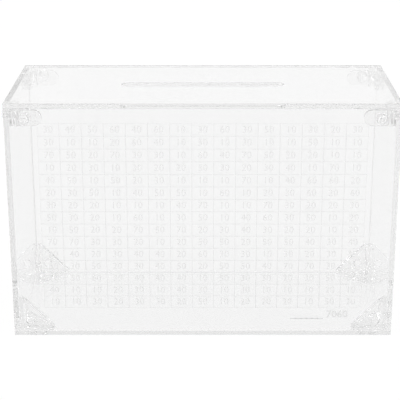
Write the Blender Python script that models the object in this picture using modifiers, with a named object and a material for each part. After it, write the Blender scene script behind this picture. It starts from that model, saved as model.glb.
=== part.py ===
"""Clear acrylic money box: six flat sheets held by moulded corner connectors, with a
lid that lifts off and has a slot for notes and coins.

Lengths are in metres and +Z is up. The origin is the middle of the base's underside,
and the front faces -Y. A corner is worked on in its own frame, whose origin is the
inside corner of the walls and whose +X and +Y run along the walls into the box.
"""

import math

import bmesh
import bpy
from mathutils import Matrix, Vector

# The box as a whole
WIDTH = 0.200
DEPTH = 0.084
HEIGHT = 0.127
SHEET = 0.0025
GAP = 0.0003

# The slot in the lid, a little nearer to the front than to the back
SLOT_LENGTH = 0.086
SLOT_WIDTH = 0.008
SLOT_FORWARD = 0.002

# The push rivets: a grommet with a domed head and split legs, and the pin in it
RIVET_HEAD_RADIUS = 0.00325
RIVET_HEAD_HEIGHT = 0.0022
RIVET_WALL = 0.00085
RIVET_LIP = 0.00045
RIVET_TAIL = 0.0014
RIVET_SPLIT = 0.0005
PIN_RADIUS = 0.0008
PIN_HEAD_RADIUS = 0.0015
PIN_HEAD_DEPTH = 0.0008
PIN_PROUD = 0.0004

# The lid catches: a pad under the lid with a stud
PAD_THICKNESS = 0.0009
STUD_RADIUS = 0.00105
STUD_BULB = 0.00015
STUD_LENGTH = 0.0050

# The top connectors: a block in the corner and a tab along each wall
BLOCK_WALL = 0.0008
BLOCK_CHAMFER = 0.0010
TAB_HEIGHT = 0.0082
TAB_THICKNESS = 0.0020
TAB_REACH = 0.0088

# The bottom connectors: three wings, each with a rim, a boss and a peg
WING_LEG = 0.0185
WING_THICKNESS = 0.0016
WING_LAND = 0.0005
WING_FILLET = 0.0014
RIM_WIDTH = 0.0012
RIM_RISE = 0.0007
PEG_RADIUS = 0.0020
PEG_RECESS = 0.0002
BOSS_BORDER = 0.0008
BOSS_RISE = 0.0006

# How round shapes are divided, and how near two points are one
ROUND_STEPS = 24
RIVET_STEPS = 16
PIN_STEPS = 12
DOME_STEPS = 4
WELD = 0.000001
FLAT_ANGLE = math.radians(0.1)

# Places that follow from the sizes above
LID_UNDERSIDE = HEIGHT - SHEET
INSIDE_X = WIDTH / 2 - SHEET
INSIDE_Y = DEPTH / 2 - SHEET
RIVET_BORE = PIN_RADIUS + GAP
RIVET_SHANK = RIVET_BORE + RIVET_WALL
RIVET_HOLE = RIVET_SHANK + GAP
RIVET_COLLAR = RIVET_SHANK + RIVET_LIP
SOCKET_RADIUS = STUD_RADIUS + STUD_BULB + GAP
BLOCK_SIDE = 2 * (SOCKET_RADIUS + BLOCK_WALL)
STUD_IN = GAP + BLOCK_SIDE / 2
TAB_TOP = LID_UNDERSIDE - GAP - PAD_THICKNESS - GAP
TAB_MIDDLE = TAB_TOP - TAB_HEIGHT / 2
RIVET_IN = GAP + BLOCK_SIDE + GAP + RIVET_COLLAR
TAB_LENGTH = RIVET_IN + TAB_REACH
PEG_HOLE = PEG_RADIUS + GAP
BOSS_RADIUS = PEG_RADIUS + BOSS_BORDER
WING_TIP = GAP + WING_THICKNESS + WING_LAND
PEG_IN = GAP + WING_THICKNESS + WING_FILLET + BOSS_RADIUS

# Turns that stand a flat plate up: its X and Y become the two axes named
TO_XY = Matrix.Identity(4)
TO_XZ = Matrix(((1, 0, 0, 0), (0, 0, -1, 0), (0, 1, 0, 0), (0, 0, 0, 1)))
TO_YZ = Matrix(((0, 0, 1, 0), (1, 0, 0, 0), (0, 1, 0, 0), (0, 0, 0, 1)))

CORNERS = {
    "front_left": (-1, -1),
    "front_right": (1, -1),
    "back_left": (-1, 1),
    "back_right": (1, 1),
}


def clear_scene():
    for obj in list(bpy.data.objects):
        bpy.data.objects.remove(obj)


def new_collection(name):
    collection = bpy.data.collections.new(name)
    bpy.context.scene.collection.children.link(collection)
    return collection


def clear_plastic(name, colour, roughness, refraction):
    material = bpy.data.materials.new(name)
    material.use_nodes = True
    shader = material.node_tree.nodes["Principled BSDF"]
    shader.inputs["Base Color"].default_value = (*colour, 1)
    shader.inputs["Metallic"].default_value = 0
    shader.inputs["Roughness"].default_value = roughness
    shader.inputs["IOR"].default_value = refraction
    shader.inputs["Transmission Weight"].default_value = 1
    return material


def tidy(mesh):
    """Merges the mesh's double points and flat neighbours, and turns its faces outwards."""
    shape = bmesh.new()
    shape.from_mesh(mesh)
    bmesh.ops.remove_doubles(shape, verts=shape.verts, dist=WELD)
    bmesh.ops.dissolve_limit(shape, angle_limit=FLAT_ANGLE, verts=shape.verts, edges=shape.edges)
    bmesh.ops.recalc_face_normals(shape, faces=shape.faces)
    shape.to_mesh(mesh)
    shape.free()
    return mesh


def baked(obj):
    """The object's evaluated shape as a mesh of its own. The object is removed."""
    bpy.context.view_layer.update()
    graph = bpy.context.evaluated_depsgraph_get()
    mesh = bpy.data.meshes.new_from_object(obj.evaluated_get(graph))
    mesh.name = obj.name
    bpy.data.objects.remove(obj)
    return mesh


def circle(centre, radius, steps=ROUND_STEPS):
    turns = [2 * math.pi * step / steps for step in range(steps)]
    return [(centre[0] + radius * math.cos(turn), centre[1] + radius * math.sin(turn)) for turn in turns]


def rectangle(low, high):
    return [low, (high[0], low[1]), high, (low[0], high[1])]


def plate(name, outlines, thickness, turn, middle):
    """A flat plate with the given outlines, the later ones being holes in the first."""
    curve = bpy.data.curves.new(name, "CURVE")
    curve.dimensions = "2D"
    curve.fill_mode = "BOTH"
    curve.extrude = thickness / 2
    for outline in outlines:
        spline = curve.splines.new("POLY")
        spline.points.add(len(outline) - 1)
        for point, place in zip(spline.points, outline):
            point.co = (*place, 0, 1)
        spline.use_cyclic_u = True
    flat = bpy.data.objects.new(name, curve)
    HELPERS.objects.link(flat)
    mesh = tidy(baked(flat))
    mesh.transform(Matrix.Translation(middle) @ turn)
    return mesh


def block(name, low, high):
    """A cuboid between two corners."""
    shape = bmesh.new()
    bmesh.ops.create_cube(shape, size=1)
    bmesh.ops.scale(shape, vec=Vector(high) - Vector(low), verts=shape.verts)
    bmesh.ops.translate(shape, vec=(Vector(high) + Vector(low)) / 2, verts=shape.verts)
    mesh = bpy.data.meshes.new(name)
    shape.to_mesh(mesh)
    shape.free()
    return mesh


def rod(name, radius, start, end):
    """A round rod between two points, which lie on a line along one axis."""
    way = Vector(end) - Vector(start)
    shape = bmesh.new()
    bmesh.ops.create_cone(
        shape, cap_ends=True, segments=ROUND_STEPS, radius1=radius, radius2=radius, depth=way.length
    )
    mesh = bpy.data.meshes.new(name)
    shape.to_mesh(mesh)
    shape.free()
    turn = way.to_track_quat("Z", "Y").to_matrix().to_4x4()
    mesh.transform(Matrix.Translation((Vector(start) + Vector(end)) / 2) @ turn)
    return mesh


def turned(name, profile, steps, closed):
    """A shape turned about Z from (radius, height) points that run down its outer side."""
    count = len(profile)
    edges = [(step, step + 1) for step in range(count - 1)]
    if closed:
        edges.append((count - 1, 0))
    mesh = bpy.data.meshes.new(name)
    mesh.from_pydata([(radius, 0, height) for radius, height in profile], edges, [])
    lathe = bpy.data.objects.new(name, mesh)
    HELPERS.objects.link(lathe)
    screw = lathe.modifiers.new("turn", "SCREW")
    screw.steps = steps
    screw.render_steps = steps
    screw.use_merge_vertices = True
    screw.merge_threshold = WELD
    return tidy(baked(lathe))


def carved(name, solids, cutters=()):
    """One mesh: the solids joined together, with the cutters taken away from them."""
    body = bpy.data.objects.new(name, solids[0])
    HELPERS.objects.link(body)
    tools = []
    steps = [("UNION", mesh) for mesh in solids[1:]] + [("DIFFERENCE", mesh) for mesh in cutters]
    for operation, mesh in steps:
        tool = bpy.data.objects.new(f"{name}_tool", mesh)
        tool.hide_render = True
        tool.display_type = "WIRE"
        HELPERS.objects.link(tool)
        modifier = body.modifiers.new(operation.lower(), "BOOLEAN")
        modifier.operation = operation
        modifier.object = tool
        tools.append(tool)
    mesh = baked(body)
    for tool in tools:
        bpy.data.objects.remove(tool)
    return tidy(mesh)


def add_part(name, mesh, material, location=(0, 0, 0), mirror=(1, 1, 1), turn=(0, 0, 0), parent=None):
    part = bpy.data.objects.new(name, mesh)
    part.parent = parent
    part.location = location
    part.rotation_euler = turn
    part.scale = mirror
    if not mesh.materials:
        mesh.materials.append(material)
    PARTS.objects.link(part)
    return part


def add_at_corners(prefix, mesh, material, height, parent=None):
    """One copy of a left front corner's mesh in each corner, mirrored to suit it."""
    for corner, (side_x, side_y) in CORNERS.items():
        place = (side_x * INSIDE_X, side_y * INSIDE_Y, height)
        add_part(f"{prefix}_{corner}", mesh, material, place, (-side_x, -side_y, 1), parent=parent)


def pair(distance, height):
    return [(-distance, height), (distance, height)]


def wall_holes(half_inside):
    """The holes of one wall: two for rivets near the top and two for pegs near the base."""
    rivets = [circle(place, RIVET_HOLE) for place in pair(half_inside - RIVET_IN, TAB_MIDDLE)]
    pegs = [circle(place, PEG_HOLE) for place in pair(half_inside - PEG_IN, SHEET + PEG_IN)]
    return rivets + pegs


def add_walls(material):
    low = SHEET + GAP
    high = LID_UNDERSIDE - GAP
    long_outline = rectangle((-WIDTH / 2, low), (WIDTH / 2, high))
    short_outline = rectangle((-INSIDE_Y + GAP, low), (INSIDE_Y - GAP, high))
    for name, side in (("front_panel", -1), ("back_panel", 1)):
        middle = (0, side * (DEPTH - SHEET) / 2, 0)
        add_part(name, plate(name, [long_outline, *wall_holes(INSIDE_X)], SHEET, TO_XZ, middle), material)
    for name, side in (("left_panel", -1), ("right_panel", 1)):
        middle = (side * (WIDTH - SHEET) / 2, 0, 0)
        add_part(name, plate(name, [short_outline, *wall_holes(INSIDE_Y)], SHEET, TO_YZ, middle), material)


def add_base(material):
    outlines = [rectangle((-WIDTH / 2, -DEPTH / 2), (WIDTH / 2, DEPTH / 2))]
    for side in (-1, 1):
        places = pair(INSIDE_X - PEG_IN, side * (INSIDE_Y - PEG_IN))
        outlines += [circle(place, PEG_HOLE) for place in places]
    mesh = plate("base_panel", outlines, SHEET, TO_XY, (0, 0, SHEET / 2))
    add_part("base_panel", mesh, material)


def slot_outline():
    """The slot, a long hole with full round ends, drawn anticlockwise."""
    radius = SLOT_WIDTH / 2
    middle = SLOT_LENGTH / 2 - radius
    steps = ROUND_STEPS // 2
    turns = [math.pi * step / steps - math.pi / 2 for step in range(steps + 1)]
    right = [(middle + radius * math.cos(turn), radius * math.sin(turn)) for turn in turns]
    outline = right + [(-x, -y) for x, y in right]
    return [(x, y - SLOT_FORWARD) for x, y in outline]


def new_lid_frame():
    """An empty in the middle of the lid's underside. The lid's pieces hang on it and lift with it."""
    frame = bpy.data.objects.new("lid", None)
    frame.location = (0, 0, LID_UNDERSIDE)
    PARTS.objects.link(frame)
    return frame


def add_lid_panel(material, lid):
    outlines = [rectangle((-WIDTH / 2, -DEPTH / 2), (WIDTH / 2, DEPTH / 2)), slot_outline()]
    mesh = plate("lid_panel", outlines, SHEET, TO_XY, (0, 0, SHEET / 2))
    add_part("lid_panel", mesh, material, parent=lid)


def tab_end_cutter(name, turn, middle):
    """What is cut away to leave a tab's free end half round."""
    radius = TAB_HEIGHT / 2
    centre = TAB_LENGTH - radius
    over = radius + GAP
    steps = ROUND_STEPS // 2
    turns = [math.pi * step / steps for step in range(steps + 1)]
    arc = [(centre + radius * math.sin(turn), radius * math.cos(turn)) for turn in turns]
    far = TAB_LENGTH + GAP
    outline = [*arc, (centre, -over), (far, -over), (far, over), (centre, over)]
    return plate(name, [outline], TAB_THICKNESS + 2 * GAP, turn, middle)


def add_top_connectors(material):
    """A corner block with a socket for the lid's stud, and a tab along each wall."""
    far = GAP + BLOCK_SIDE
    face = GAP + TAB_THICKNESS
    half = [(TAB_LENGTH, GAP), (TAB_LENGTH, face), (far, face), (far, far - BLOCK_CHAMFER)]
    plan = [(GAP, GAP), *half, *[(y, x) for x, y in reversed(half)]]
    socket = circle((STUD_IN, STUD_IN), SOCKET_RADIUS)
    body = plate("top_connector", [plan, socket], TAB_HEIGHT, TO_XY, (0, 0, 0))
    middle = GAP + TAB_THICKNESS / 2
    through = face + GAP
    cutters = [
        tab_end_cutter("end_front", TO_XZ, (0, middle, 0)),
        tab_end_cutter("end_side", TO_YZ, (middle, 0, 0)),
        rod("hole_front", RIVET_HOLE, (RIVET_IN, 0, 0), (RIVET_IN, through, 0)),
        rod("hole_side", RIVET_HOLE, (0, RIVET_IN, 0), (through, RIVET_IN, 0)),
    ]
    add_at_corners("top_connector", carved("top_connector", [body], cutters), material, TAB_MIDDLE)


def wing_details(name, turn):
    """What stands on one wing, the one in the XZ plane: rim, boss and peg, and a fillet."""
    root = GAP + WING_THICKNESS / 2
    face = GAP + WING_THICKNESS
    high = WING_LEG - RIM_WIDTH
    low = WING_TIP + RIM_WIDTH
    inner = high - math.sqrt(2) * RIM_WIDTH
    rim_outline = [(low, inner), (inner, low), (high + GAP, low + GAP), (low + GAP, high + GAP)]
    rim_top = face + RIM_RISE
    solids = [
        plate(f"{name}_rim", [rim_outline], rim_top - root, TO_XZ, (0, (rim_top + root) / 2, 0)),
        rod(f"{name}_boss", BOSS_RADIUS, (PEG_IN, root, PEG_IN), (PEG_IN, face + BOSS_RISE, PEG_IN)),
        rod(f"{name}_peg", PEG_RADIUS, (PEG_IN, PEG_RECESS - SHEET, PEG_IN), (PEG_IN, face, PEG_IN)),
        fillet(f"{name}_fillet"),
    ]
    for mesh in solids:
        mesh.transform(turn)
    return solids


def fillet(name):
    """The thickened inside edge between two wings, along the frame's X axis."""
    root = GAP + WING_THICKNESS / 2
    face = GAP + WING_THICKNESS
    far = face + WING_FILLET
    end = WING_LEG - far
    outline = [(root, root), (far, root), (far, face), (face, far), (root, far)]
    return plate(name, [outline], end - root, TO_YZ, ((root + end) / 2, 0, 0))


def wing_edge_cutter(name, turn):
    """What is cut away to leave the wing in the XZ plane with its slanting free edge."""
    far = 2 * WING_LEG
    near = WING_TIP - WING_LEG
    mesh = plate(name, [[(far, near), (far, far), (near, far)]], 3 * WING_LEG, TO_XZ, (0, 0, 0))
    mesh.transform(turn)
    return mesh


def add_bottom_connectors(material):
    """Three like wings that meet in the corner, one on each sheet."""
    face = GAP + WING_THICKNESS
    outer = block("wings", (GAP, GAP, GAP), (WING_LEG, WING_LEG, WING_LEG))
    over = WING_LEG + GAP
    wings = carved("wings", [outer], [block("inside", (face, face, face), (over, over, over))])
    solids = [wings]
    cutters = []
    turn = Matrix.Identity(4)
    for number in range(3):
        solids += wing_details(f"wing_{number}", turn)
        cutters.append(wing_edge_cutter(f"edge_{number}", turn))
        turn = TO_YZ @ turn
    add_at_corners("bottom_connector", carved("bottom_connector", solids, cutters), material, SHEET)


def dome(radius_low, radius_high):
    """Points down the rivet head's spherical top, between two radii."""
    sphere = (RIVET_HEAD_RADIUS**2 + RIVET_HEAD_HEIGHT**2) / (2 * RIVET_HEAD_HEIGHT)
    base = GAP + RIVET_HEAD_HEIGHT - sphere
    radii = [radius_low + (radius_high - radius_low) * step / DOME_STEPS for step in range(DOME_STEPS + 1)]
    return [(radius, base + math.sqrt(sphere**2 - radius**2)) for radius in radii]


def rivet_meshes():
    """A grommet and its pin, with +Z out of the box and Z = 0 at the wall's outer face."""
    well = PIN_HEAD_RADIUS + GAP
    floor = GAP + RIVET_HEAD_HEIGHT - PIN_HEAD_DEPTH - GAP
    collar = -(SHEET + GAP + TAB_THICKNESS + GAP)
    end = collar - RIVET_TAIL
    profile = dome(well, RIVET_HEAD_RADIUS) + [
        (RIVET_SHANK, GAP),
        (RIVET_SHANK, collar),
        (RIVET_COLLAR, collar),
        (RIVET_COLLAR, collar - RIVET_TAIL / 3),
        (RIVET_SHANK - RIVET_LIP, end),
        (RIVET_BORE, end),
        (RIVET_BORE, floor),
        (well, floor),
    ]
    grommet = turned("grommet", profile, RIVET_STEPS, True)
    reach = RIVET_COLLAR + GAP
    width = RIVET_SPLIT / 2
    top = collar + TAB_THICKNESS
    cuts = [
        block("split_x", (-reach, -width, end - GAP), (reach, width, top)),
        block("split_y", (-width, -reach, end - GAP), (width, reach, top)),
    ]
    grommet = carved("grommet", [grommet], cuts)
    point = end - PIN_PROUD
    pin_profile = dome(0, PIN_HEAD_RADIUS) + [
        (PIN_HEAD_RADIUS, floor + GAP),
        (PIN_RADIUS, floor + GAP),
        (PIN_RADIUS, end),
        (0, point),
    ]
    return grommet, turned("pin", pin_profile, PIN_STEPS, False)


def add_rivets(material):
    """Two rivets in each wall, each a grommet with the pin that spreads its legs."""
    grommet, pin = rivet_meshes()
    for corner, (side_x, side_y) in CORNERS.items():
        end_y, end_x = corner.split("_")
        in_long_wall = (side_x * (INSIDE_X - RIVET_IN), side_y * DEPTH / 2, TAB_MIDDLE)
        in_short_wall = (side_x * WIDTH / 2, side_y * (INSIDE_Y - RIVET_IN), TAB_MIDDLE)
        rivets = {
            f"{end_y}_{end_x}": (in_long_wall, (-side_y * math.pi / 2, 0, 0)),
            f"{end_x}_{end_y}": (in_short_wall, (0, side_x * math.pi / 2, 0)),
        }
        for name, (place, turn) in rivets.items():
            add_part(f"rivet_grommet_{name}", grommet, material, place, turn=turn)
            add_part(f"rivet_pin_{name}", pin, material, place, turn=turn)


def add_lid_catches(material, lid):
    """A square pad under the lid, with a stud that plugs into the connector below."""
    far = GAP + BLOCK_SIDE
    pad = block("pad", (GAP, GAP, -GAP - PAD_THICKNESS), (far, far, -GAP))
    end = -GAP - PAD_THICKNESS - STUD_LENGTH
    bulb = STUD_RADIUS + STUD_BULB
    profile = [
        (0, -GAP - PAD_THICKNESS / 2),
        (STUD_RADIUS, -GAP - PAD_THICKNESS / 2),
        (STUD_RADIUS, end + STUD_LENGTH / 2),
        (bulb, end + STUD_LENGTH / 3),
        (bulb, end + STUD_LENGTH / 6),
        (STUD_RADIUS / 2, end),
        (0, end),
    ]
    stud = turned("stud", profile, RIVET_STEPS, False)
    stud.transform(Matrix.Translation((STUD_IN, STUD_IN, 0)))
    add_at_corners("lid_catch", carved("lid_catch", [pad, stud]), material, 0, lid)


clear_scene()
PARTS = new_collection("money_box")
HELPERS = new_collection("helpers")

SHEET_PLASTIC = clear_plastic("clear_acrylic_sheet", (0.98, 0.985, 0.985), 0.02, 1.49)
MOULDED_PLASTIC = clear_plastic("clear_moulding", (0.96, 0.965, 0.97), 0.06, 1.57)
RIVET_PLASTIC = clear_plastic("clear_rivet", (0.95, 0.955, 0.96), 0.08, 1.53)

add_base(SHEET_PLASTIC)
add_walls(SHEET_PLASTIC)
add_bottom_connectors(MOULDED_PLASTIC)
add_top_connectors(MOULDED_PLASTIC)
add_rivets(RIVET_PLASTIC)

LID = new_lid_frame()
add_lid_panel(SHEET_PLASTIC, LID)
add_lid_catches(MOULDED_PLASTIC, LID)
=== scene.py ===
"""A clear acrylic money box, dressed for its portrait: polished sheets, moulded corner connectors, push
rivets and a table of numbers printed on the front sheet. Lengths are in metres."""

import math
import random

import bpy
from mathutils import Matrix, Vector


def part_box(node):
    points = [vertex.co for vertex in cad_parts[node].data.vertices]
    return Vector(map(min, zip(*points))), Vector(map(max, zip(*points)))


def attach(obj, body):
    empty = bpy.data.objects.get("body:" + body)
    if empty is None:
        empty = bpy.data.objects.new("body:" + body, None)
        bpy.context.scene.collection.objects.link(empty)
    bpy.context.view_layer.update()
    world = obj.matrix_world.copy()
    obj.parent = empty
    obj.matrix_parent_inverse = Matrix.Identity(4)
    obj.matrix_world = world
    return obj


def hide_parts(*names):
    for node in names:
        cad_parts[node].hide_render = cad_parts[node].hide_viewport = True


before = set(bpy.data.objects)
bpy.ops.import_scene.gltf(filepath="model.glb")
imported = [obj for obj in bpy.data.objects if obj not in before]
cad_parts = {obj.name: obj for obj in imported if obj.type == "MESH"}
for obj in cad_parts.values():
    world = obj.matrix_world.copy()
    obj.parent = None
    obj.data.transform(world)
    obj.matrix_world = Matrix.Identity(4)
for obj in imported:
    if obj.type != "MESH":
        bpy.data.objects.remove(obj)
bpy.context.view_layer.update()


# The six sheets of the box: base, four walls and lid. They are cast acrylic, polished on both faces, and a
# laser cuts their outlines and holes, which leaves fine marks on the ends and rougher ones at the back. The
# ends, the lid's slot walls and the broken corners are painted darker, a painted shade that differs from sheet
# to sheet, and on the side sheets and the lid the ends that face the back have a painted shade of their own,
# less on the right sheet. The sharp corners are broken by hand, and the corner connectors hold the sheets
# together.
EDGE_BREAK = 0.00035
EDGE_STEPS = 4
MERGE = 0.000005
FLAT = math.radians(1)
SMOOTH = math.radians(35)
FACE_ON = 0.9
TOWARDS_BACK = 0.1
NEAR_EDGE = 0.001
SLOT_MARK = 0.8


def select_only(piece):
    bpy.ops.object.select_all(action="DESELECT")
    piece.select_set(True)
    bpy.context.view_layer.objects.active = piece


def rounded(piece, radius, steps):
    """Rounds the piece's sharp edges and marks the new faces with 1 in its attribute `arris`."""
    select_only(piece)
    bpy.ops.object.shade_smooth_by_angle(angle=SMOOTH)
    piece.data.materials.clear()
    piece.data.materials.append(None)
    piece.data.materials.append(None)
    bevel = piece.modifiers.new("rounded edges", "BEVEL")
    bevel.width = radius
    bevel.segments = steps
    bevel.limit_method = "ANGLE"
    bevel.angle_limit = SMOOTH
    bevel.use_clamp_overlap = True
    bevel.harden_normals = True
    bevel.material = 1
    bpy.ops.object.modifier_apply(modifier=bevel.name)
    arris = piece.data.attributes.new("arris", "FLOAT", "FACE")
    for face, mark in zip(piece.data.polygons, arris.data):
        mark.value = face.material_index
        face.material_index = 0
    piece.data.materials.clear()


def merged_copy(node, name):
    """A copy of a CAD solid with its loose triangles merged into whole faces."""
    piece = bpy.data.objects.new(name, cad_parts[node].data.copy())
    piece.data.name = name
    bpy.context.scene.collection.objects.link(piece)
    select_only(piece)
    bpy.ops.object.mode_set(mode="EDIT")
    bpy.ops.mesh.select_all(action="SELECT")
    bpy.ops.mesh.remove_doubles(threshold=MERGE)
    bpy.ops.mesh.dissolve_limited(angle_limit=FLAT)
    bpy.ops.object.mode_set(mode="OBJECT")
    return piece


def mark_ends(piece, thin, slotted, back_rough_shade):
    """Marks the ends with 1 in the attribute `cut`, a slot's walls with SLOT_MARK, and the end that faces the
    back with `back_rough_shade` in the attribute `rough_shaded_end`, which makes it rougher and gives it a
    painted shade. `thin` is the sheet's thin axis. Round holes stay clear."""
    data = piece.data
    cut = data.attributes.new("cut", "FLOAT", "FACE")
    rough_shaded_end = data.attributes.new("rough_shaded_end", "FLOAT", "FACE")
    arris = data.attributes["arris"]
    middle = sum((Vector(corner) for corner in piece.bound_box), Vector()) / 8
    size = [dimension / 2 - NEAR_EDGE for dimension in piece.dimensions]
    for place, face in enumerate(data.polygons):
        off = face.center - middle
        outer = any(abs(off[axis]) > size[axis] for axis in range(3) if axis != thin)
        if not (outer or slotted):
            arris.data[place].value = 0
        elif abs(face.normal[thin]) < FACE_ON:
            cut.data[place].value = 1 if outer else SLOT_MARK
        if outer and face.normal.y > TOWARDS_BACK:
            rough_shaded_end.data[place].value = back_rough_shade


def mixed(tree, factor, low, high):
    """Blends two numbers or colours by the socket `factor`. Each may be a socket too."""
    mix = tree.nodes.new("ShaderNodeMix")
    if isinstance(low, tuple) or isinstance(high, tuple):
        mix.data_type = "RGBA"
    tree.links.new(factor, mix.inputs["Factor"])
    for name, value in (("A", low), ("B", high)):
        socket = next(socket for socket in mix.inputs if socket.name == name and socket.enabled)
        if isinstance(value, bpy.types.NodeSocket):
            tree.links.new(value, socket)
        else:
            socket.default_value = value
    return next(socket for socket in mix.outputs if socket.enabled)


def mark_of(tree, name):
    mark = tree.nodes.new("ShaderNodeAttribute")
    mark.attribute_name = name
    return mark.outputs["Fac"]


def grey(level):
    return (level, level, level, 1)


def grain(tree, scale, stretch=(1, 1, 1), detail=4):
    """Noise between 0 and 1, with `scale` cells a metre, stretched along the axes by `stretch`."""
    place = tree.nodes.new("ShaderNodeTexCoord")
    mapping = tree.nodes.new("ShaderNodeMapping")
    mapping.inputs["Scale"].default_value = stretch
    noise = tree.nodes.new("ShaderNodeTexNoise")
    noise.inputs["Scale"].default_value = scale
    noise.inputs["Detail"].default_value = detail
    tree.links.new(place.outputs["Object"], mapping.inputs["Vector"])
    tree.links.new(mapping.outputs["Vector"], noise.inputs["Vector"])
    return noise.outputs["Fac"]


def between(tree, factor, low, high):
    """Turns a factor of 0 to 1 into a number from `low` to `high`."""
    scale = tree.nodes.new("ShaderNodeMapRange")
    scale.inputs["To Min"].default_value = low
    scale.inputs["To Max"].default_value = high
    tree.links.new(factor, scale.inputs["Value"])
    return scale.outputs["Result"]


REFRACTION = 1.49
POLISHED_TINT = 0.955
HAZE_GRAIN = 260
MOST_HAZE = 0.04
CUT_MARKS = 3000
CUT_MARK_DETAIL = 2
CUT_MARK_DEPTH = 0.00001
CUT_STREAK = 0.04
# The ends that face the back take this colour as a painted shade, and the roughness below, on each sheet by
# its share listed below.
BACK_END_SHADE_TINT = 0.97
RAW_ROUGHNESS = 0.6
BACK_ROUGH_SHADES = {"left": 1, "right": 0.65, "lid": 1}


def clear_plastic(name, absorbed):
    """A clear plastic that dims light by `absorbed` per metre inside. Its colour and roughness come later."""
    material = bpy.data.materials.new(name)
    material.use_nodes = True
    tree = material.node_tree
    shader = tree.nodes["Principled BSDF"]
    shader.inputs["Transmission Weight"].default_value = 1
    shader.inputs["IOR"].default_value = REFRACTION
    body = tree.nodes.new("ShaderNodeVolumeAbsorption")
    body.inputs["Color"].default_value = (0, 0, 0, 1)
    body.inputs["Density"].default_value = absorbed
    tree.links.new(body.outputs["Volume"], tree.nodes["Material Output"].inputs["Volume"])
    return material


def cast_acrylic(name, thin, end_shade_tint, corner_shade_tint, matt, absorbed):
    """Cast acrylic with fine marks that run across the ends of a sheet that is thin along one axis. Its ends
    let through `end_shade_tint` of the light and its broken corners `corner_shade_tint`, a painted shade that
    darkens them, and both are `matt` rough. The ends marked `rough_shaded_end` take a painted shade and a
    roughness of their own."""
    material = clear_plastic(name, absorbed)
    tree = material.node_tree
    shader = tree.nodes["Principled BSDF"]
    cut = mark_of(tree, "cut")
    broken = mark_of(tree, "arris")
    rough_shaded_end = mark_of(tree, "rough_shaded_end")
    tint = mixed(tree, cut, grey(POLISHED_TINT), grey(end_shade_tint))
    tint = mixed(tree, broken, tint, grey(corner_shade_tint))
    tree.links.new(mixed(tree, rough_shaded_end, tint, grey(BACK_END_SHADE_TINT)), shader.inputs["Base Color"])
    haze = between(tree, grain(tree, HAZE_GRAIN), 0, MOST_HAZE)
    rough = mixed(tree, cut, haze, matt)
    rough = mixed(tree, broken, rough, matt)
    tree.links.new(mixed(tree, rough_shaded_end, rough, RAW_ROUGHNESS), shader.inputs["Roughness"])
    streak = [1, 1, 1]
    streak[thin] = CUT_STREAK
    bump = tree.nodes.new("ShaderNodeBump")
    bump.inputs["Distance"].default_value = CUT_MARK_DEPTH
    tree.links.new(cut, bump.inputs["Strength"])
    tree.links.new(grain(tree, CUT_MARKS, streak, CUT_MARK_DETAIL), bump.inputs["Height"])
    tree.links.new(bump.outputs["Normal"], shader.inputs["Normal"])
    return material


X, Y, Z = range(3)
# Each sheet has its own copy of the acrylic, whose tints at the ends and broken corners are painted shade that
# differs from sheet to sheet; the side sheets' copy also dims no light inside, where the others do.
side_acrylic = cast_acrylic(
    "cast_acrylic_sides", thin=X, end_shade_tint=1, corner_shade_tint=0.95, matt=0.06, absorbed=0
)
long_acrylic = cast_acrylic(
    "cast_acrylic_long_walls", thin=Y, end_shade_tint=0.99, corner_shade_tint=0.99, matt=0.03, absorbed=0.3
)
base_acrylic = cast_acrylic(
    "cast_acrylic_base", thin=Z, end_shade_tint=0.83, corner_shade_tint=0.93, matt=0.08, absorbed=0.3
)
lid_acrylic = cast_acrylic(
    "cast_acrylic_lid", thin=Z, end_shade_tint=0.865, corner_shade_tint=0.72, matt=0.08, absorbed=0.3
)
sheets = {
    "left": (X, side_acrylic),
    "right": (X, side_acrylic),
    "front": (Y, long_acrylic),
    "back": (Y, long_acrylic),
    "base": (Z, base_acrylic),
    "lid": (Z, lid_acrylic),
}
for sheet, (thin, acrylic) in sheets.items():
    node = f"{sheet}_panel"
    piece = merged_copy(node, f"{sheet}_sheet")
    rounded(piece, EDGE_BREAK, EDGE_STEPS)
    mark_ends(piece, thin, sheet == "lid", BACK_ROUGH_SHADES.get(sheet, 0))
    piece.data.materials.append(acrylic)
    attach(piece, "lid" if sheet == "lid" else "box")
    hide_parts(node)


# The table of numbers on the front sheet. It is screen printed in white ink on the outer face: a net of
# thin lines with an amount in each cell, which the owner crosses out when it is saved, and their sum below.
COLUMNS = 15
ROWS = 15
TABLE_WIDTH = 0.1668
TABLE_LOW = 0.0159
TABLE_HIGH = 0.1168
TABLE_SEED = 5
AMOUNTS = (10, 20, 30, 40, 50, 60, 70)
AMOUNT_WEIGHTS = (5, 5, 5, 2, 3, 1, 1)
INK_LINE = 0.0003
INK_THICKNESS = 0.00003
INK_LIFT = 0.00001
INK_GREYS = (0.84, 0.9)
INK_GRAIN = 900
INK_ROUGHNESS = 0.6
DIGIT_HEIGHT = 0.0038
DIGIT_SHARE = 0.729
DIGIT_STEPS = 2
SUM_HEIGHT = 0.0042
SUM_BOLDNESS = 0.00014
SUM_PLACE = (0.0767, 0.0099)

white_ink = bpy.data.materials.new("white_ink")
white_ink.use_nodes = True
tree = white_ink.node_tree
shader = tree.nodes["Principled BSDF"]
shader.inputs["Roughness"].default_value = INK_ROUGHNESS
thin_ink, full_ink = INK_GREYS
cover = mixed(tree, grain(tree, INK_GRAIN), grey(thin_ink), grey(full_ink))
tree.links.new(cover, shader.inputs["Base Color"])

stand_up = Matrix.Rotation(math.pi / 2, 4, "X")
front_low, front_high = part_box("front_panel")
ink_back = front_low.y - INK_LIFT
cell_width = TABLE_WIDTH / COLUMNS
cell_height = (TABLE_HIGH - TABLE_LOW) / ROWS


def apply_place(piece, place):
    """Puts the piece in its place and writes that into its mesh."""
    select_only(piece)
    piece.matrix_world = place
    bpy.ops.object.transform_apply(location=True, rotation=True, scale=True)


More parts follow.
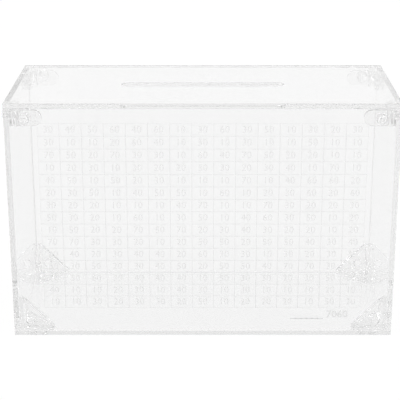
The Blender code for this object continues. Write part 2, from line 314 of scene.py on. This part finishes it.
bpy.ops.object.select_all(action="DESELECT")
bpy.ops.mesh.primitive_grid_add(x_subdivisions=COLUMNS, y_subdivisions=ROWS, size=1)
net = bpy.context.object
net.name = "printed_net"
net.scale = (TABLE_WIDTH, TABLE_HIGH - TABLE_LOW, 1)
bpy.ops.object.transform_apply(location=False, rotation=False, scale=True)
bpy.ops.object.mode_set(mode="EDIT")
bpy.ops.mesh.select_all(action="SELECT")
bpy.ops.mesh.inset(thickness=INK_LINE / 2, use_individual=True)
bpy.ops.mesh.delete(type="FACE")
bpy.ops.object.mode_set(mode="OBJECT")
solid = net.modifiers.new("ink", "SOLIDIFY")
solid.thickness = INK_THICKNESS
solid.offset = 1
bpy.ops.object.modifier_apply(modifier=solid.name)
middle = Vector((0, ink_back, (TABLE_LOW + TABLE_HIGH) / 2))
apply_place(net, Matrix.Translation(middle) @ stand_up)


def printed_number(text, height, align, boldness=0):
    """A number in ink, as a mesh that lies flat at the origin. Its strokes grow by `boldness` on each side."""
    bpy.ops.object.select_all(action="DESELECT")
    bpy.ops.object.text_add()
    number = bpy.context.object
    number.data.body = text
    number.data.size = height / DIGIT_SHARE
    number.data.align_x = align
    number.data.align_y = "CENTER"
    number.data.extrude = INK_THICKNESS / 2
    number.data.resolution_u = DIGIT_STEPS
    number.data.offset = boldness
    bpy.ops.object.convert(target="MESH")
    number = bpy.context.object
    number.data.transform(Matrix.Translation((0, 0, INK_THICKNESS / 2)))
    return number


patterns = {amount: printed_number(str(amount), DIGIT_HEIGHT, "CENTER") for amount in AMOUNTS}
draw = random.Random(TABLE_SEED)
amounts = draw.choices(AMOUNTS, AMOUNT_WEIGHTS, k=COLUMNS * ROWS)
copies = []
for place, amount in enumerate(amounts):
    row, column = divmod(place, COLUMNS)
    copy = bpy.data.objects.new("printed_numbers", patterns[amount].data.copy())
    bpy.context.scene.collection.objects.link(copy)
    x = (column + 0.5) * cell_width - TABLE_WIDTH / 2
    z = TABLE_HIGH - (row + 0.5) * cell_height
    apply_place(copy, Matrix.Translation((x, ink_back, z)) @ stand_up)
    copies.append(copy)
for pattern in patterns.values():
    bpy.data.objects.remove(pattern)
for copy in copies:
    copy.select_set(True)
numbers = copies[0]
bpy.context.view_layer.objects.active = numbers
bpy.ops.object.join()

total = printed_number(f"______ {sum(amounts)}", SUM_HEIGHT, "RIGHT", SUM_BOLDNESS)
total.name = "printed_sum"
sum_x, sum_z = SUM_PLACE
apply_place(total, Matrix.Translation((sum_x, ink_back, sum_z + SUM_HEIGHT / 2)) @ stand_up)

for piece in (net, numbers, total):
    piece.data.materials.clear()
    piece.data.materials.append(white_ink)
    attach(piece, "box")


# The bottom connectors, top connectors and lid catches. They are injection moulded in clear plastic with
# softened edges, which carry a faint painted shade, and a slightly hazy skin. The top connectors, the
# thickest, have a plastic that dims light four times as much inside, a painted shade that makes them look
# greyer. Pegs and studs of their own, or the push rivets, fix them to the sheets.
MOULDED_ROUNDING = 0.00022
MOULDED_STEPS = 3
MOULDED_GRAIN = 400
MOULDED_HAZE = (0.03, 0.09)


def moulded_plastic(name, tint, edge_shade_tint, haze, absorbed):
    """A moulded plastic that lets through `tint` of the light, and `edge_shade_tint` at its rounded edges, a
    darker value that is painted shade.
    """
    material = clear_plastic(name, absorbed)
    tree = material.node_tree
    shader = tree.nodes["Principled BSDF"]
    colour = mixed(tree, mark_of(tree, "arris"), grey(tint), grey(edge_shade_tint))
    tree.links.new(colour, shader.inputs["Base Color"])
    tree.links.new(between(tree, grain(tree, MOULDED_GRAIN), *haze), shader.inputs["Roughness"])
    return material


moulding = moulded_plastic(
    "clear_moulding", tint=0.97, edge_shade_tint=0.965, haze=MOULDED_HAZE, absorbed=3
)
# Painted shade: the top connectors' plastic dims light inside four times as much as the other mouldings'.
shaded_top_moulding = moulded_plastic(
    "shaded_clear_top_moulding", tint=0.985, edge_shade_tint=0.965, haze=MOULDED_HAZE, absorbed=12
)

for node in sorted(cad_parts):
    if not node.startswith(("bottom_connector", "top_connector", "lid_catch")):
        continue
    piece = merged_copy(node, f"moulded_{node}")
    rounded(piece, MOULDED_ROUNDING, MOULDED_STEPS)
    piece.data.materials.append(shaded_top_moulding if node.startswith("top") else moulding)
    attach(piece, "lid" if node.startswith("lid") else "box")
    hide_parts(node)


# The push rivets, two in each wall. Each is a moulded grommet whose domed head lies on the sheet and whose
# four legs go through it and the connector's tab, and a pin that is pushed in to spread the legs.
GAP = 0.0003
SHEET = 0.0025
TAB = 0.0020
HEAD_RADIUS = 0.00325
HEAD_HEIGHT = 0.0022
HEAD_SKIRT = 0.00025
SHANK_RADIUS = 0.00195
BORE_RADIUS = 0.0011
LIP = 0.00045
TAIL = 0.0014
SPLIT = 0.0005
PIN_RADIUS = 0.0008
PIN_HEAD_RADIUS = 0.0015
PIN_HEAD_DEPTH = 0.0008
PIN_PROUD = 0.0004
DIMPLE_RADIUS = 0.0005
DIMPLE_DEPTH = 0.0004
DOME_RINGS = 8
RIVET_SIDES = 48
RIVET_ROUNDING = 0.00008
RIVET_STEPS = 2
RIVET_HAZE = (0.05, 0.12)

# The rivets' rounded edges are a painted shade darker than their faces.
rivet_plastic = moulded_plastic(
    "clear_rivet", tint=0.995, edge_shade_tint=0.99, haze=RIVET_HAZE, absorbed=0.5
)
sphere = (HEAD_RADIUS**2 + HEAD_HEIGHT**2) / (2 * HEAD_HEIGHT)
apex = GAP + HEAD_HEIGHT
well = PIN_HEAD_RADIUS + GAP
well_floor = apex - PIN_HEAD_DEPTH - GAP
collar = -(SHEET + GAP + TAB + GAP)
leg_end = collar - TAIL


def dome(inner, outer):
    """(radius, height) down the head's round top, between two radii."""
    radii = [inner + (outer - inner) * step / DOME_RINGS for step in range(DOME_RINGS + 1)]
    return [(radius, apex - sphere + math.sqrt(sphere**2 - radius**2)) for radius in radii]


def drawn_out(name, rings):
    """A turned shape: a circle is drawn out ring by ring through (radius, height) pairs."""
    bpy.ops.object.select_all(action="DESELECT")
    radius, height = rings[0]
    bpy.ops.mesh.primitive_circle_add(vertices=RIVET_SIDES, radius=radius, location=(0, 0, height))
    piece = bpy.context.object
    piece.name = name
    bpy.ops.object.transform_apply(location=True)
    bpy.ops.object.mode_set(mode="EDIT")
    bpy.ops.mesh.select_all(action="SELECT")
    for new_radius, new_height in rings[1:]:
        rise = {"value": (0, 0, new_height - height)}
        bpy.ops.mesh.extrude_region_move(TRANSFORM_OT_translate=rise)
        growth = new_radius / radius
        bpy.ops.transform.resize(value=(growth, growth, 1))
        radius, height = new_radius, new_height
    bpy.ops.mesh.select_all(action="SELECT")
    bpy.ops.mesh.remove_doubles(threshold=MERGE)
    bpy.ops.mesh.fill_holes(sides=0)
    bpy.ops.mesh.select_all(action="SELECT")
    bpy.ops.mesh.normals_make_consistent(inside=False)
    bpy.ops.object.mode_set(mode="OBJECT")
    return piece


skirt = [(HEAD_RADIUS, GAP + 2 * HEAD_SKIRT), (HEAD_RADIUS, GAP), (SHANK_RADIUS, GAP)]
legs = [
    (SHANK_RADIUS, collar),
    (SHANK_RADIUS + LIP, collar),
    (SHANK_RADIUS + LIP, collar - TAIL / 3),
    (SHANK_RADIUS - LIP, leg_end),
    (BORE_RADIUS, leg_end),
    (BORE_RADIUS, well_floor),
    (well, well_floor),
]
head = dome(well, HEAD_RADIUS - HEAD_SKIRT)
grommet = drawn_out("grommet", head + skirt + legs + head[:1])
length = TAB - leg_end + collar + GAP
blade_middle = (0, 0, collar + TAB - length / 2)
for turn in (0, math.pi / 2):
    bpy.ops.object.select_all(action="DESELECT")
    bpy.ops.mesh.primitive_cube_add(size=1, location=blade_middle, rotation=(0, 0, turn))
    blade = bpy.context.object
    blade.scale = (3 * SHANK_RADIUS, SPLIT, length)
    split = grommet.modifiers.new("split", "BOOLEAN")
    split.operation = "DIFFERENCE"
    split.object = blade
    select_only(grommet)
    bpy.ops.object.modifier_apply(modifier=split.name)
    bpy.data.objects.remove(blade)
rounded(grommet, RIVET_ROUNDING, RIVET_STEPS)

dimple = [
    (DIMPLE_RADIUS / 4, apex - DIMPLE_DEPTH),
    (DIMPLE_RADIUS - DIMPLE_DEPTH / 4, apex - DIMPLE_DEPTH),
]
pin_body = [
    (PIN_HEAD_RADIUS, well_floor + GAP),
    (PIN_RADIUS, well_floor + GAP),
    (PIN_RADIUS, leg_end),
    (PIN_RADIUS / 4, leg_end - PIN_PROUD),
]
pin = drawn_out("pin", dimple + dome(DIMPLE_RADIUS, PIN_HEAD_RADIUS) + pin_body)
rounded(pin, RIVET_ROUNDING, RIVET_STEPS)

outwards = {"front": (0, -1, 0), "back": (0, 1, 0), "left": (-1, 0, 0), "right": (1, 0, 0)}
for wall, outward in outwards.items():
    out = Vector(outward)
    axis = X if out.x else Y
    wall_low, wall_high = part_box(f"{wall}_panel")
    for node in sorted(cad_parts):
        if not node.startswith((f"rivet_grommet_{wall}", f"rivet_pin_{wall}")):
            continue
        low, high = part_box(node)
        place = (low + high) / 2
        place[axis] = (wall_high if out[axis] > 0 else wall_low)[axis]
        turn = out.to_track_quat("Z", "Y").to_matrix().to_4x4()
        model = grommet if "grommet" in node else pin
        piece = bpy.data.objects.new(f"moulded_{node}", model.data.copy())
        bpy.context.scene.collection.objects.link(piece)
        apply_place(piece, Matrix.Translation(place) @ turn)
        piece.data.materials.append(rivet_plastic)
        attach(piece, "box")
        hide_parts(node)
bpy.data.objects.remove(grommet)
bpy.data.objects.remove(pin)


# The camera. A long lens stands above the box, square to its front and tilted down, so that the lid and its
# slot show. Its place and focal length come from a fit to the edges of the box.
CAMERA_BACK = 0.6410
CAMERA_UP = 0.2854
CAMERA_TILT = math.radians(19.26)
CAMERA_RANGE = (0.01, 20)
FILM_MM = 36
FOCAL_PIXELS = 1239
FRAME_PIXELS = 400
CENTRE_PIXEL = 202.8

bpy.ops.object.camera_add(
    location=(0, -CAMERA_BACK, CAMERA_UP), rotation=(math.pi / 2 - CAMERA_TILT, 0, 0)
)
camera = bpy.context.object
camera.name = "camera"
camera.data.sensor_width = FILM_MM
camera.data.lens = FILM_MM * FOCAL_PIXELS / FRAME_PIXELS
camera.data.shift_x = (FRAME_PIXELS / 2 - CENTRE_PIXEL) / FRAME_PIXELS
camera.data.clip_start, camera.data.clip_end = CAMERA_RANGE
bpy.context.scene.camera = camera


# The stage: a white floor that keeps a faint shadow of the box and runs back to a white surround, and soft
# lamps high on both sides, which put small lights on the rounded edges.
FLOOR_SIZE = 8
FLOOR_DROP = 0.0002
FLOOR_GREY = 0.85
FLOOR_ROUGHNESS = 0.9
FLOOR_GLOW = 1.02
GLOW_SHARE = 0.95
ROOM_LIGHT = 0.8
LAMP_SIZE = 0.3
LAMP_POWER = 2.2
LAMP_PLACES = ((-0.65, -0.45, 0.95), (0.65, -0.45, 0.95))
BOUNCES = 200


def white_where_seen(tree):
    """1 for a ray from the camera, a reflection or a view through something clear, and else 0."""
    ray = tree.nodes.new("ShaderNodeLightPath")
    seen = ray.outputs["Is Camera Ray"]
    for kind in ("Is Glossy Ray", "Is Transmission Ray"):
        either = tree.nodes.new("ShaderNodeMath")
        either.operation = "MAXIMUM"
        tree.links.new(seen, either.inputs[0])
        tree.links.new(ray.outputs[kind], either.inputs[1])
        seen = either.outputs[0]
    return seen


bpy.ops.object.select_all(action="DESELECT")
bpy.ops.mesh.primitive_plane_add(size=FLOOR_SIZE, location=(0, 0, -FLOOR_DROP))
floor = bpy.context.object
floor.name = "floor"
paper = bpy.data.materials.new("white_floor")
paper.use_nodes = True
tree = paper.node_tree
shader = tree.nodes["Principled BSDF"]
shader.inputs["Base Color"].default_value = grey(FLOOR_GREY)
shader.inputs["Roughness"].default_value = FLOOR_ROUGHNESS
glow = tree.nodes.new("ShaderNodeEmission")
glow.inputs["Strength"].default_value = FLOOR_GLOW
mix = tree.nodes.new("ShaderNodeMixShader")
tree.links.new(between(tree, white_where_seen(tree), 0, GLOW_SHARE), mix.inputs["Fac"])
tree.links.new(shader.outputs["BSDF"], mix.inputs[1])
tree.links.new(glow.outputs["Emission"], mix.inputs[2])
tree.links.new(mix.outputs["Shader"], tree.nodes["Material Output"].inputs["Surface"])
floor.data.materials.append(paper)

world = bpy.data.worlds.new("white_room")
world.use_nodes = True
bpy.context.scene.world = world
tree = world.node_tree
background = tree.nodes["Background"]
background.inputs["Color"].default_value = grey(1)
light = between(tree, white_where_seen(tree), ROOM_LIGHT, 1)
tree.links.new(light, background.inputs["Strength"])

for place in LAMP_PLACES:
    bpy.ops.object.light_add(type="AREA", location=place)
    lamp = bpy.context.object
    lamp.data.size = LAMP_SIZE
    lamp.data.energy = LAMP_POWER
    lamp.rotation_euler = (-Vector(place)).to_track_quat("-Z", "Y").to_euler()

cycles = bpy.context.scene.cycles
cycles.max_bounces = BOUNCES
cycles.transmission_bounces = BOUNCES
cycles.glossy_bounces = BOUNCES

bpy.context.scene.view_settings.view_transform = "Standard"
